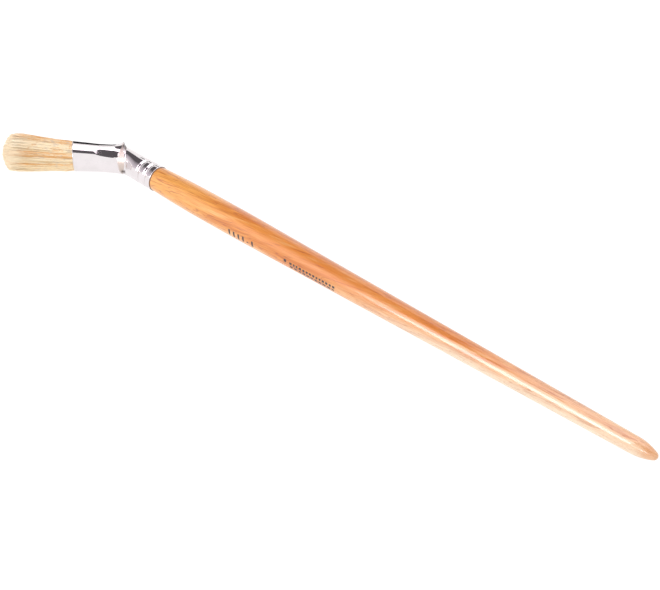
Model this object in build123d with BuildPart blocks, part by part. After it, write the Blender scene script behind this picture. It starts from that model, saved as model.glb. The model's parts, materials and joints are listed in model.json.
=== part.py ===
from build123d import *
import os
from math import asin, atan, atan2, cos, degrees, hypot, radians, sin, sqrt

# Long-handled round artist's brush with a bent ferrule, lying on a table.
# Millimetres and degrees. X runs along the handle towards its tip, Z is up.

# Handle, from the ferrule's lip to the tip
handle_length = 245.9
neck_length = 31.0
belly_radius = 5.58
belly_length = 16.0
easing_length = 0.4
nose_radius = 3.30
nose_length = 10.0
tip_radius = 1.60
tenon_lead_length = 2.4
tenon_lead_drop = 0.7

# Ferrule: a thin tube bent to an elbow, with a crease that leans off the middle of the bend
wall = 0.30
bend_angle = 45.0
crease_lean = 24.0
crease_half_depth = 6.20
crease_half_width = 6.00
head_length = 19.4
mouth_radius = 6.0
mouth_skew = 8.0
waist_reach = 10.0
waist_radius = 5.62
shank_length = 20.6
collar_length = 10.6
collar_radius = 5.05
lip_radius = 5.25
crimp_depth = 0.35
crimp_width = 2.4
crimp_setbacks = (3.2, 7.2)

# Knot of bristles, from the ferrule's mouth
bristle_length = 28.3
knot_depth = 14.0
knot_draw_in = 1.36
widest_reach = 20.0
widest_radius = 7.60
rim_reach = 24.7
rim_radius = 7.35
core_share = 0.42
lock_count = 8
lock_gap_angle = 1.5

# Thread round the knot, and the cement round its root
thread_diameter = 0.30
thread_overlap = 0.04
thread_turns = 6
thread_setback = 5.2
cement_front = 8.0
cement_back = 15.5

# Clearances, each on the radius
glue_line = 0.04
knot_clearance = 0.04
thread_clearance = 0.02
cement_clearance = 0.04

# Stations along the handle's axis, from the bend
lip_x = shank_length
collar_x = lip_x - collar_length
tenon_x = collar_x - tenon_lead_length
belly_x = lip_x + neck_length
belly_end_x = belly_x + belly_length
taper_x = belly_end_x + easing_length
tip_x = lip_x + handle_length
nose_x = tip_x - nose_length

# The skewed mouth reaches this far past its own middle.
skew_reach = mouth_radius * sin(radians(mouth_skew))

# The straight taper is tangent to an easing arc that leaves the belly level.
taper_slope = (belly_radius - nose_radius) / (nose_x - taper_x + easing_length / 2)
taper_radius = nose_radius + taper_slope * (nose_x - taper_x)

# The bullet nose is one large arc, tangent to the taper, that runs into a small round tip.
taper_angle = atan(taper_slope)
ogive_run = nose_length - tip_radius
ogive_room = nose_radius * cos(taper_angle) - ogive_run * sin(taper_angle) - tip_radius
ogive_radius = (ogive_run**2 + nose_radius**2 - tip_radius**2) / (2 * ogive_room)
ogive_centre = (nose_x - ogive_radius * sin(taper_angle), nose_radius - ogive_radius * cos(taper_angle))
tip_centre = (tip_x - tip_radius, 0)
tip_angle = degrees(atan2(tip_centre[1] - ogive_centre[1], tip_centre[0] - ogive_centre[0]))

# The brush rests on its straight taper and on the widest ring of its bristles.
bend_height = (nose_radius + taper_slope * nose_x) * cos(taper_angle)
head_reach = head_length + widest_reach
head_rise = atan2(widest_radius, head_reach) - asin(bend_height / hypot(head_reach, widest_radius))
bend = radians(bend_angle)
roll = asin((cos(bend) * sin(taper_angle) - sin(head_rise)) / (sin(bend) * cos(taper_angle)))

# The bend stands where the middle of the whole brush is over the origin.
dome_radius = (rim_radius**2 + (bristle_length - rim_reach) ** 2) / (2 * (bristle_length - rim_reach))
dome_centre = head_length + bristle_length - dome_radius
reach_behind = dome_centre * cos(bend) + dome_radius
reach_aside = dome_centre * sin(bend) + dome_radius
bend_x = (reach_behind - tip_x) / 2
bend_y = (reach_aside - belly_radius) / 2
level = Location((bend_x, bend_y, bend_height), (0, degrees(taper_angle), 0))
lying = level * Location((0, 0, 0), (degrees(roll), 0, 0))

# Both axes lie in the brush's own plane: local x along the handle, y to the outside of the bend.
brush_plane = Plane(lying)
head_plane = Plane(lying * Location((0, 0, 0), (0, 0, 180 + bend_angle)))
handle_axis = Axis(brush_plane.origin, brush_plane.x_dir)
head_axis = Axis(head_plane.origin, head_plane.x_dir)


def section_across(plane, distance, turn=0.0, tilt=0.0):
    """The plane that crosses an axis at a distance, turned about the upright or tilted towards it."""
    across = Location((distance, 0, 0), (0, 0, turn)) * Location((0, 0, 0), (0, 90 + tilt, 0))
    return Plane(Location(plane) * across)


def crimped_edge(inset):
    """The ferrule's collar line up to its lip, drawn in by an inset and rolled in at each crimp."""
    roll_radius = (crimp_width**2 / 4 + crimp_depth**2) / (2 * crimp_depth)
    half_width = sqrt((roll_radius + inset) ** 2 - (roll_radius + inset - crimp_depth) ** 2)

    def radius_at(x):
        return lip_radius - inset + (collar_radius - lip_radius) * (lip_x - x) / collar_length

    start = (collar_x, radius_at(collar_x))
    for setback in sorted(crimp_setbacks, reverse=True):
        x = lip_x - setback
        near, far = x - half_width, x + half_width
        Line(start, (near, radius_at(near)))
        ThreePointArc((near, radius_at(near)), (x, radius_at(x) - crimp_depth), (far, radius_at(far)))
        start = (far, radius_at(far))
    Line(start, (lip_x, radius_at(lip_x)))


def tube_form(inset):
    """The ferrule's form as a closed solid, drawn in by an inset, and running past its mouth."""
    past_mouth = head_length + skew_reach + wall
    crease_inset = inset / cos(bend / 2)
    with BuildPart() as form:
        with BuildSketch(section_across(head_plane, past_mouth)):
            Circle(mouth_radius - inset)
        with BuildSketch(section_across(head_plane, waist_reach)):
            Circle(waist_radius - inset)
        loft()
        with BuildSketch(section_across(head_plane, waist_reach)):
            Circle(waist_radius - inset)
        with BuildSketch(section_across(head_plane, 0, crease_lean - bend_angle / 2)):
            Ellipse(crease_half_width - inset, crease_half_depth - crease_inset)
        loft()
        with BuildSketch(section_across(brush_plane, 0, crease_lean + bend_angle / 2)):
            Ellipse(crease_half_width - inset, crease_half_depth - crease_inset)
        with BuildSketch(section_across(brush_plane, collar_x)):
            Circle(collar_radius - inset)
        loft()
        with BuildSketch(brush_plane):
            with BuildLine():
                crimped_edge(inset)
                Line((lip_x, lip_radius - inset), (lip_x, 0))
                Line((lip_x, 0), (collar_x, 0))
                Line((collar_x, 0), (collar_x, collar_radius - inset))
            make_face()
        revolve(axis=handle_axis)
    return form.part


def knot_radius(s):
    """The bristle knot's outer radius at a distance s out of the mouth, where the ferrule holds it."""
    at_mouth = mouth_radius - wall - knot_clearance
    return at_mouth + knot_draw_in * (s - skew_reach) / knot_depth


def knot_outline(gap):
    """Half the knot's outline, widened by a gap: a straight flare, a rounded rim and a blunt dome."""
    root = (head_length - knot_depth, knot_radius(-knot_depth) + gap)
    mouth = (head_length + skew_reach, knot_radius(skew_reach) + gap)
    widest = (head_length + widest_reach, widest_radius + gap)
    rim = (head_length + rim_reach, rim_radius + gap)
    tip = (head_length + bristle_length, 0)
    Line((root[0], 0), root)
    Line(root, mouth)
    flare = Line(mouth, widest)
    TangentArc(widest, rim, tangent=flare % 1)
    RadiusArc(rim, tip, dome_radius)
    Line(tip, (root[0], 0))


def core_outline(gap):
    """Half the outline of the knot's core, widened by a gap, and running past both of its ends."""
    start = head_length - knot_depth
    end = head_length + bristle_length
    start_radius = core_share * knot_radius(-knot_depth) + gap
    end_radius = core_share * rim_radius + gap
    Polyline((start, 0), (start, start_radius), (end, end_radius), (end, 0), close=True)


os.makedirs("parts", exist_ok=True)

# Turned wooden handle, with a tenon rolled into the ferrule's crimps
tenon_inset = wall + glue_line
tenon_radius = collar_radius - tenon_inset
neck_radius = lip_radius - tenon_inset
with BuildPart() as handle:
    with BuildSketch(brush_plane):
        with BuildLine():
            Line((tenon_x, 0), (tenon_x, tenon_radius - tenon_lead_drop))
            Line((tenon_x, tenon_radius - tenon_lead_drop), (collar_x, tenon_radius))
            crimped_edge(tenon_inset)
            TangentArc((belly_x, belly_radius), (lip_x, neck_radius), tangent=(-1, 0))
            Line((belly_x, belly_radius), (belly_end_x, belly_radius))
            TangentArc((belly_end_x, belly_radius), (taper_x, taper_radius), tangent=(1, 0))
            Line((taper_x, taper_radius), (nose_x, nose_radius))
            CenterArc(ogive_centre, ogive_radius, tip_angle, 90 - degrees(taper_angle) - tip_angle)
            CenterArc(tip_centre, tip_radius, 0, tip_angle)
            Line((tip_x, 0), (tenon_x, 0))
        make_face()
    revolve(axis=handle_axis)
handle.part.label = "handle"
export_step(handle.part, "parts/handle.step")

# Plated ferrule, one wall thick all along, with its mouth cut askew
mouth_cut = section_across(head_plane, head_length, tilt=mouth_skew)
with BuildPart() as ferrule:
    add(tube_form(0))
    add(tube_form(wall), mode=Mode.SUBTRACT)
    split(bisect_by=mouth_cut, keep=Keep.BOTTOM)
ferrule.part.label = "ferrule"
export_step(ferrule.part, "parts/ferrule.step")

# Resin cup, set in the bore round the roots of the bristles
cement_faces = [section_across(head_plane, head_length - s) for s in (cement_front, cement_back)]
with BuildPart() as setting_cement:
    add(tube_form(wall + cement_clearance))
    split(bisect_by=cement_faces[0], keep=Keep.BOTTOM)
    split(bisect_by=cement_faces[1], keep=Keep.TOP)
    with BuildSketch(head_plane):
        with BuildLine():
            knot_outline(thread_clearance)
        make_face()
    revolve(axis=head_axis, mode=Mode.SUBTRACT)
setting_cement.part.label = "setting_cement"
export_step(setting_cement.part, "parts/setting_cement.step")

# Thread wound round the knot, each turn bedded against the next
with BuildPart() as root_binding:
    with BuildSketch(head_plane):
        for turn in range(thread_turns):
            s = -thread_setback - turn * (thread_diameter - thread_overlap)
            with Locations((head_length + s, knot_radius(s) + thread_clearance + thread_diameter / 2)):
                Circle(thread_diameter / 2)
    revolve(axis=head_axis)
root_binding.part.label = "root_binding"
export_step(root_binding.part, "parts/root_binding.step")

# Middle of the knot
with BuildPart() as bristle_core:
    with BuildSketch(head_plane):
        with BuildLine():
            knot_outline(0)
        make_face()
        with BuildLine():
            core_outline(0)
        make_face(mode=Mode.INTERSECT)
    revolve(axis=head_axis)
bristle_core.part.label = "bristle_core"
export_step(bristle_core.part, "parts/bristle_core.step")

# Locks of bristles packed round the core, one of them square to the table
lock_angle = 360 / lock_count
for number in range(lock_count):
    turn = lock_angle * (number + 0.5)
    lock_plane = Plane(Location(head_plane) * Location((0, 0, 0), (turn, 0, 0)))
    with BuildPart() as bristle_lock:
        with BuildSketch(lock_plane):
            with BuildLine():
                knot_outline(0)
            make_face()
            with BuildLine():
                core_outline(knot_clearance)
            make_face(mode=Mode.SUBTRACT)
        revolve(axis=head_axis, revolution_arc=lock_angle - lock_gap_angle)
    bristle_lock.part.label = f"bristle_lock_{number + 1}"
    export_step(bristle_lock.part, f"parts/bristle_lock_{number + 1}.step")
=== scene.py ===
# Looks of a long-handled round artist's brush that lies on a pale table.
# Its ferrule is bent to an elbow, so the bristles point aside.
# Sizes are millimetres in the brush's own axes: x from the bend along the
# handle, y to the outside of the bend, z up. Blender gets metres.

import json
import logging
import math
from dataclasses import dataclass, field
from enum import Enum
from typing import Any, Optional, Union

import bpy
import numpy as np
from mathutils import Euler, Matrix, Vector

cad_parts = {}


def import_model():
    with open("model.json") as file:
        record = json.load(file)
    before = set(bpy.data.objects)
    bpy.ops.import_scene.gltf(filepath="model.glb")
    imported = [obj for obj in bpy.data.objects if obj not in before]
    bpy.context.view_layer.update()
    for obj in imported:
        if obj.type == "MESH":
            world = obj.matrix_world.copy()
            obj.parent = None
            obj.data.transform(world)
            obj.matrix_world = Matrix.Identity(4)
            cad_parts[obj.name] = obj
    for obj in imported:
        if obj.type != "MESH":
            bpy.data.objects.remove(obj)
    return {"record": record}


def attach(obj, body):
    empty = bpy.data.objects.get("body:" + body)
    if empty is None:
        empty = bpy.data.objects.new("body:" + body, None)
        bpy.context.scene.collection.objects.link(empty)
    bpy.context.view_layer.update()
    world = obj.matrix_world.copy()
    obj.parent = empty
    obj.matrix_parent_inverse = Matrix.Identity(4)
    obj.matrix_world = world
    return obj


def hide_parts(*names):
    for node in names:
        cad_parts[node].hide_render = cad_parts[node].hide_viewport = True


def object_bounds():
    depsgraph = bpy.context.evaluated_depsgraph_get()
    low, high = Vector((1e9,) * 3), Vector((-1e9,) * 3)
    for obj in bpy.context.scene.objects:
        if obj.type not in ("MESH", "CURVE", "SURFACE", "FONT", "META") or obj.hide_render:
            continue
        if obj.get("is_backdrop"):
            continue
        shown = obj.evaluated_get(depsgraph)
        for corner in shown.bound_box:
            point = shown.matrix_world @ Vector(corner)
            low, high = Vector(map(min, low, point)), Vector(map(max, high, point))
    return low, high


METRES = 0.001
BAKE_MAP = "OFBake"

# Sizes that more than one piece goes by: along the handle from the bend to
# the ferrule's lip, the mount and the tip, and along the head to its mouth.
LIP_X = 20.6
MOUNT_X = 59.6
TIP_X = 266.5
MOUTH_REACH = 19.4
# The knot's radius at the mouth, and how much it narrows for each millimetre inside.
KNOT_AT_MOUTH = 5.66
DRAW_IN = 0.097

log = logging.getLogger("brush")

Number = Union[int, float]
Span = tuple[float, float]
Colour = tuple[float, float, float]
Place = tuple[float, float, float]
Face = tuple[int, ...]
Outline = list[tuple[float, float]]


class Slot(Enum):
    """The record's material slots."""

    WOOD = "varnished_wood"
    PLATE = "nickel_plate"
    RESIN = "resin"
    THREAD = "thread"
    BRISTLE = "bristle"


def opaque(colour: Colour) -> tuple[float, float, float, float]:
    """Gives a colour its full alpha."""
    return (colour[0], colour[1], colour[2], 1.0)


class Value:
    """A shader socket that takes part in Python arithmetic."""

    def __init__(self, shader: "Shader", socket: bpy.types.NodeSocket) -> None:
        """Wraps a socket.

        Args:
            shader: The shader whose tree the socket is in.
            socket: The output socket.
        """
        self.shader = shader
        self.socket = socket

    def _math(self, operation: str, *terms: "Term", clamp: bool = False) -> "Value":
        """Adds one Math node.

        Args:
            operation: The Math node's operation.
            terms: Its values or links, in order.
            clamp: Whether the result is held between 0 and 1.

        Returns:
            The node's result.
        """
        settings = {"operation": operation, "use_clamp": clamp}
        return self.shader.node("ShaderNodeMath", settings, dict(enumerate(terms)))

    def __add__(self, other: "Term") -> "Value":
        """Adds."""
        return self._math("ADD", self, other)

    def __radd__(self, other: "Term") -> "Value":
        """Adds to a number."""
        return self._math("ADD", other, self)

    def __sub__(self, other: "Term") -> "Value":
        """Subtracts."""
        return self._math("SUBTRACT", self, other)

    def __rsub__(self, other: "Term") -> "Value":
        """Subtracts from a number."""
        return self._math("SUBTRACT", other, self)

    def __mul__(self, other: "Term") -> "Value":
        """Multiplies."""
        return self._math("MULTIPLY", self, other)

    def __rmul__(self, other: "Term") -> "Value":
        """Multiplies a number."""
        return self._math("MULTIPLY", other, self)

    def __abs__(self) -> "Value":
        """Drops the sign."""
        return self._math("ABSOLUTE", self)

    def held(self) -> "Value":
        """Holds the value between 0 and 1."""
        return self._math("ADD", self, 0.0, clamp=True)

    def between(self, low: Number, high: Number) -> "Value":
        """Rises smoothly from 0 at one value to 1 at another.

        Args:
            low: Where the result is 0.
            high: Where the result is 1. It may be under low, for a fall.

        Returns:
            The smooth step.
        """
        settings = {"interpolation_type": "SMOOTHSTEP", "clamp": True}
        inputs = {"Value": self, "From Min": low, "From Max": high, "To Min": 0.0, "To Max": 1.0}
        return self.shader.node("ShaderNodeMapRange", settings, inputs)

    def bell(self, centre: Number, half_width: Number) -> "Value":
        """Rises from 0 to 1 at a centre and falls again.

        Args:
            centre: Where the result is 1.
            half_width: How far from the centre it is 0.

        Returns:
            The bell.
        """
        return abs(self - centre).between(half_width, 0.0)


Term = Union[Value, int, float, Colour]


class Shader:
    """One material's nodes, made one expression at a time."""

    def __init__(self, name: str) -> None:
        """Starts an empty material.

        Args:
            name: The material's name.
        """
        self.material = bpy.data.materials.new(name)
        self.material.use_nodes = True
        self.tree = self.material.node_tree
        self.tree.nodes.clear()

    def node(self, kind: str, settings: Optional[dict[str, Any]] = None,
             inputs: Optional[dict[Any, Term]] = None, output: Any = 0) -> Value:
        """Adds a node.

        Args:
            kind: The node's type.
            settings: Its own properties, and "stops" for a ramp's colours.
            inputs: Values or links by socket name or number.
            output: The output that is wanted, by name or number.

        Returns:
            That output as a value.
        """
        made = self.tree.nodes.new(kind)
        for key, setting in (settings or {}).items():
            if key == "stops":
                self._set_stops(made.color_ramp, setting)
            else:
                setattr(made, key, setting)
        for key, term in (inputs or {}).items():
            self._feed(made.inputs[key], term)
        return Value(self, made.outputs[output])

    @staticmethod
    def _set_stops(ramp: bpy.types.ColorRamp, stops: list[tuple[float, Colour]]) -> None:
        """Sets a ramp's stops.

        Args:
            ramp: The ramp.
            stops: Positions and colours, in order.
        """
        while len(ramp.elements) < len(stops):
            ramp.elements.new(1.0)
        for element, (position, colour) in zip(ramp.elements, stops):
            element.position = position
            element.color = opaque(colour)

    def _feed(self, socket: bpy.types.NodeSocket, term: Term) -> None:
        """Links or sets one input.

        Args:
            socket: The input.
            term: A value to link, a number, or a colour or vector.
        """
        if isinstance(term, Value):
            self.tree.links.new(term.socket, socket)
        elif isinstance(term, tuple) and socket.type == "RGBA":
            socket.default_value = opaque(term)
        else:
            socket.default_value = term

    def attribute(self, name: str) -> Value:
        """Reads a number that the mesh keeps on its points."""
        return self.node("ShaderNodeAttribute", {"attribute_name": name}, output="Fac")

    def stretched(self, place: Value, scale: Place, shift: Place = (0.0, 0.0, 0.0)) -> Value:
        """Scales and moves a place.

        Args:
            place: The place, a vector.
            scale: The factor along each axis.
            shift: What is added after it.

        Returns:
            The new place.
        """
        settings = {"operation": "MULTIPLY_ADD"}
        return self.node("ShaderNodeVectorMath", settings, {0: place, 1: scale, 2: shift})

    def coordinate(self, place: Value, axis: str) -> Value:
        """Takes one of a place's three coordinates, by its letter."""
        return self.node("ShaderNodeSeparateXYZ", None, {0: place}, axis)

    def noise(self, place: Value, detail: Number = 3.0, roughness: Number = 0.5,
              distortion: Number = 0.0) -> Value:
        """Adds noise with features about one unit across.

        Args:
            place: Where it is read.
            detail: How many finer layers it has.
            roughness: How strong those layers are.
            distortion: How far it is swirled.

        Returns:
            Noise about a half.
        """
        inputs = {"Vector": place, "Scale": 1.0, "Detail": detail, "Roughness": roughness,
                  "Distortion": distortion}
        return self.node("ShaderNodeTexNoise", None, inputs, "Fac")

    def ramp(self, value: Value, stops: list[tuple[float, Colour]]) -> Value:
        """Turns a value into a colour through stops."""
        return self.node("ShaderNodeValToRGB", {"stops": stops}, {"Fac": value}, "Color")

    def mix(self, factor: Term, first: Term, second: Term) -> Value:
        """Mixes two colours.

        Args:
            factor: How much of the second there is.
            first: The first colour.
            second: The second colour.

        Returns:
            The mixed colour.
        """
        return self.node("ShaderNodeMix", {"data_type": "RGBA"}, {0: factor, 6: first, 7: second}, 2)

    def bump(self, height: Value, depth: Number, strength: Number = 1.0) -> Value:
        """Turns a height into a normal.

        Args:
            height: The height, from 0 to 1.
            depth: What a height of 1 stands for, in metres.
            strength: How much of the bump is used.

        Returns:
            The normal.
        """
        inputs = {"Height": height, "Distance": depth, "Strength": strength}
        return self.node("ShaderNodeBump", None, inputs, "Normal")

    def finish(self, **sockets: Term) -> bpy.types.Material:
        """Ends the material in one principled surface.

        Args:
            sockets: Its inputs, with _ for each space in their names.

        Returns:
            The material.
        """
        named = {key.replace("_", " "): term for key, term in sockets.items()}
        surface = self.node("ShaderNodeBsdfPrincipled", None, named)
        self.node_output(surface)
        return self.material

    def node_output(self, surface: Value) -> None:
        """Joins a surface to the material's output."""
        made = self.tree.nodes.new("ShaderNodeOutputMaterial")
        self.tree.links.new(surface.socket, made.inputs["Surface"])


@dataclass(frozen=True)
class Layout:
    """Where the brush lies: its own axes within the shared frame."""

    bend: Place
    pitch: float
    roll: float = math.radians(-1.7714196)
    elbow: float = math.radians(45.0)

    @classmethod
    def from_record(cls, record: dict[str, Any]) -> "Layout":
        """Works the place out from the belly's mount.

        Args:
            record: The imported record.

        Returns:
            The layout.
        """
        mount = record["mounts"][0]
        axis = Vector(mount["axis"]).normalized()
        bend = Vector(mount["pos_m"]) / METRES - axis * MOUNT_X
        return cls(bend=tuple(bend), pitch=math.asin(-axis.z))

    @property
    def turn(self) -> np.ndarray:
        """The brush's own axes, as the columns of a matrix."""
        return np.array(Euler((self.roll, self.pitch, 0.0)).to_matrix())

    @property
    def head_axes(self) -> np.ndarray:
        """Rows: out along the head, towards the outside of the bend, and up: a left-handed set."""
        c, s = math.cos(self.elbow), math.sin(self.elbow)
        return np.array([[-c, -s, 0.0], [-s, c, 0.0], [0.0, 0.0, 1.0]])

    def lay(self, points: np.ndarray) -> np.ndarray:
        """Takes points from the brush's axes to the shared frame.

        Args:
            points: Places, the last axis holding x, y and z in millimetres.

        Returns:
            The places in metres.
        """
        return (points @ self.turn.T + np.array(self.bend)) * METRES

    def from_head(self, points: np.ndarray) -> np.ndarray:
        """Takes points from the head's axes to the brush's axes."""
        return points @ self.head_axes

    def grain_place(self, shader: Shader) -> Value:
        """Finds the place in the brush's own axes, for textures.

        Args:
            shader: The shader that asks.

        Returns:
            The place, in millimetres.
        """
        where = shader.node("ShaderNodeTexCoord", None, None, "Object")
        inputs = {
            "Vector": where,
            "Location": tuple(METRES * v for v in self.bend),
            "Rotation": (self.roll, self.pitch, 0.0),
            "Scale": (METRES, METRES, METRES),
        }
        return shader.node("ShaderNodeMapping", {"vector_type": "TEXTURE"}, inputs)


@dataclass
class Skin:
    """A mesh in the making: points, faces, and what they carry.

    A mirrored skin's faces were made in the head's left-handed axes, so they are turned over.
    """

    points: np.ndarray
    faces: list[Face]
    carried: dict[str, np.ndarray] = field(default_factory=dict)
    corner_uvs: Optional[np.ndarray] = None
    mirrored: bool = False

    @staticmethod
    def ring_faces(rows: int, columns: int, closed: bool = False) -> list[Face]:
        """Joins rings of points, each to the next.

        Args:
            rows: How many rings there are.
            columns: How many points each has.
            closed: Whether the last ring joins the first.

        Returns:
            The faces, facing out where the rings turn left about their run.
        """
        faces = []
        for row in range(rows if closed else rows - 1):
            near, far = row * columns, (row + 1) % rows * columns
            for column in range(columns):
                beside = (column + 1) % columns
                faces.append((near + column, near + beside, far + beside, far + column))
        return faces

    @staticmethod
    def end_faces(rows: int, columns: int) -> list[Face]:
        """Closes the first and the last ring, each onto a middle point.

        Args:
            rows: How many rings there are. The two middle points are numbered after them.
            columns: How many points each has.

        Returns:
            The faces, in pairs, facing out where the rings' own faces do.
        """
        first_middle, last = rows * columns, (rows - 1) * columns
        faces = []
        for column in range(columns):
            beside = (column + 1) % columns
            faces.append((beside, column, first_middle))
            faces.append((last + column, last + beside, first_middle + 1))
        return faces

    @staticmethod
    def shifted(faces: list[Face], start: int) -> list[Face]:
        """Gives the same faces on points that are numbered from a start."""
        return [tuple(start + index for index in face) for face in faces]

    def to_object(self, name: str, layout: Layout, material: bpy.types.Material,
                  sharp_angle: float = math.radians(50.0)) -> bpy.types.Object:
        """Makes the Blender object.

        Args:
            name: The object's name.
            layout: Where the brush lies.
            material: What the piece is made of.
            sharp_angle: The least angle that stays a sharp edge.

        Returns:
            The object, in the scene.
        """
        mesh = bpy.data.meshes.new(name)
        mesh.from_pydata(layout.lay(self.points).tolist(), [], self.faces)
        mesh.validate()
        for key, numbers in self.carried.items():
            layer = mesh.attributes.new(key, "FLOAT", "POINT")
            layer.data.foreach_set("value", np.asarray(numbers, np.float32))
        if self.corner_uvs is not None:
            uv_layer = mesh.uv_layers.new(name=BAKE_MAP)
            uv_layer.data.foreach_set("uv", np.asarray(self.corner_uvs, np.float32).ravel())
        if self.mirrored:
            mesh.flip_normals()
        mesh.shade_smooth()
        mesh.set_sharp_from_angle(angle=sharp_angle)
        mesh.materials.append(material)
        made = bpy.data.objects.new(name, mesh)
        bpy.context.scene.collection.objects.link(made)
        return made


@dataclass(frozen=True)
class VarnishedWood:
    """Honey-coloured turned wood under clear gloss varnish."""

    pale: Colour = (0.80, 0.43, 0.15)
    honey: Colour = (0.77, 0.30, 0.045)
    amber: Colour = (0.57, 0.155, 0.005)
    vein: Colour = (0.40, 0.09, 0.010)
    gold: Colour = (0.82, 0.40, 0.085)
    # The cream tone also serves as painted light on the lower side and far end.
    cream: Colour = (0.80, 0.645, 0.47)
    umber: Colour = (0.16, 0.065, 0.022)
    pore: Colour = (0.52, 0.21, 0.06)
    dip: Colour = (0.66, 0.25, 0.06)
    gold_end: Span = (75.0, 35.0)
    painted_light_run: Span = (95.0, 190.0)
    even_run: Span = (180.0, 235.0)
    shaded_top_start: Span = (60.0, 125.0)
    shaded_top_end: Span = (235.0, 180.0)
    shaded_top_height: Span = (-1.0, 3.4)
    flame_at: Span = (95.0, 60.0)
    dipped_tip: Span = (8.0, 2.5)
    shaded_grimy_lip: Span = (0.75, 0.15)
    grain_slant: Place = (0.0, -0.085, -0.10)

    def build(self, layout: Layout) -> bpy.types.Material:
        """Builds the material.

        Args:
            layout: Where the brush lies.

        Returns:
            The material.
        """
        shader = Shader("varnished_wood")
        place = layout.grain_place(shader)
        along = shader.coordinate(place, "X")

        # The grain runs out of the blank at a slight slant, so its figure sweeps across.
        slanted = shader.node("ShaderNodeVectorMath", {"operation": "MULTIPLY_ADD"},
                              {0: along, 1: self.grain_slant, 2: place})
        sway = shader.noise(shader.stretched(slanted, (0.011, 0.06, 0.06)), 2.0)
        figure = shader.noise(shader.stretched(slanted, (0.016, 0.26, 0.26), (3.1, 0.0, 0.0)), 3.0, 0.55, 0.9)
        rings = shader.noise(shader.stretched(slanted, (0.022, 0.75, 0.75)), 2.0, 0.5, 0.5)
        fibre = shader.noise(shader.stretched(place, (0.10, 3.4, 3.4)), 3.0, 0.62)
        pores = shader.noise(shader.stretched(place, (0.9, 7.0, 7.0)), 2.0, 0.6).between(0.60, 0.70)

        # Painted light: towards the tip and on its lower side the wood is painted plainer and paler, where
        # the strong low light falls.
        upper = shader.coordinate(place, "Z").between(*self.shaded_top_height)
        painted_paling = along.between(*self.painted_light_run) * (1 - (1 - 0.45 * along.between(*self.even_run)) * upper)
        streak = (figure * 0.60 + rings * 0.40 + (sway - 0.5) * 0.30).held()
        stops = [(0.38, self.pale), (0.455, self.honey), (0.51, self.honey), (0.59, self.amber)]
        wood = shader.ramp(streak, stops)
        wood = shader.mix(along.between(*self.gold_end) * 0.75, wood, self.gold)
        # Painted shade: the upper side of the far half is painted deep amber, and its lower side stays pale,
        # as the light falls from below.
        shaded_top = along.between(*self.shaded_top_start) * along.between(*self.shaded_top_end)
        wood = shader.mix((shaded_top * upper * (0.55 + 0.9 * (figure - 0.45))).held(), wood, self.amber)
        flame = along.bell(*self.flame_at)
        wood = shader.mix(flame * (0.25 + 0.9 * (figure - 0.4)).held(), wood, self.amber)
        # Painted light: the cream tone is laid where the low light falls.
        wood = shader.mix(painted_paling * (0.62 + 0.7 * (1 - streak)).held(), wood, self.cream)
        wood = shader.mix((fibre - 0.46).held() * (3.4 - 2.2 * painted_paling), wood, self.amber)
        wood = shader.mix(pores * (0.22 + 0.5 * painted_paling), wood, self.pore)

        # Thin dark veins follow the figure's edges.
        vein = rings.between(0.50, 0.53) * rings.between(0.57, 0.54) * figure.between(0.40, 0.55)
        wood = shader.mix(vein * (0.75 - 0.45 * painted_paling), wood, self.vein)

        # The tip was dipped. Against the ferrule's lip the wood is darkened, partly by dirt and partly by a
        # painted shadow of the lip.
        dipped = along.between(TIP_X - self.dipped_tip[0], TIP_X - self.dipped_tip[1])
        wood = shader.mix(dipped * 0.55, wood, self.dip)
        shade_and_grime = along.between(LIP_X + self.shaded_grimy_lip[0], LIP_X + self.shaded_grimy_lip[1])
        wood = shader.mix(shade_and_grime * 0.85, wood, self.umber)

        handled = shader.noise(shader.stretched(place, (0.05, 0.2, 0.2)), 3.0)
        height = fibre * 0.6 + (1 - pores) * 0.4
        return shader.finish(
            Base_Color=wood,
            Roughness=0.34 + 0.16 * handled,
            Normal=shader.bump(height, 0.00004, 0.22),
            Coat_Weight=(0.94 - 0.12 * (handled - 0.4)).held(),
            Coat_Roughness=0.035,
            Coat_IOR=1.5,
            IOR=1.5,
        )


@dataclass(frozen=True)
class NickelPlate:
    """Bright plated metal, worn at its crimps and rims, with a painted reflection beside its crease and
    painted shade along it.
    """

    bright: Colour = (0.79, 0.74, 0.75)
    dull: Colour = (0.66, 0.62, 0.62)
    worn_and_reflected: Colour = (0.57, 0.475, 0.42)
    # The fold tone is painted shade.
    fold: Colour = (0.20, 0.17, 0.16)

    def build(self, layout: Layout) -> bpy.types.Material:
        """Builds the material.

        Args:
            layout: Where the brush lies.

        Returns:
            The material.
        """
        shader = Shader("nickel_plate")
        place = layout.grain_place(shader)
        crease = shader.attribute("crease")
        edge = shader.attribute("edge")
        fold = shader.attribute("fold")

        breath = shader.noise(shader.stretched(place, (0.22, 0.22, 0.22)), 3.0, 0.55)
        scuffs = shader.noise(shader.stretched(place, (0.5, 0.5, 9.0)), 4.0, 0.7).between(0.60, 0.76)
        specks = shader.noise(shader.stretched(place, (6.0, 6.0, 6.0)), 2.0, 0.6).between(0.70, 0.80)

        metal = shader.mix((breath - 0.35).held() * 0.8, self.bright, self.dull)
        # Painted reflection: the band beside the crease on the head's side takes a beige tone.
        metal = shader.mix(crease * (0.8 + 0.2 * breath), metal, self.worn_and_reflected)
        metal = shader.mix((edge * (0.2 + 0.5 * breath)).held(), metal, self.dull)
        metal = shader.mix(specks * 0.35, metal, self.worn_and_reflected)
        # Painted shade: the fold carries the dark of the dent and of the strip along the crease.
        metal = shader.mix(fold, metal, self.fold)
        rough = 0.05 + 0.05 * breath + 0.10 * scuffs + 0.34 * crease + 0.08 * edge + 0.2 * fold
        height = breath * 0.5 + scuffs * 0.2 + specks * 0.3
        return shader.finish(
            Base_Color=metal,
            Metallic=1.0,
            Roughness=rough.held(),
            Normal=shader.bump(height, 0.00002, 0.25),
        )


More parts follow.
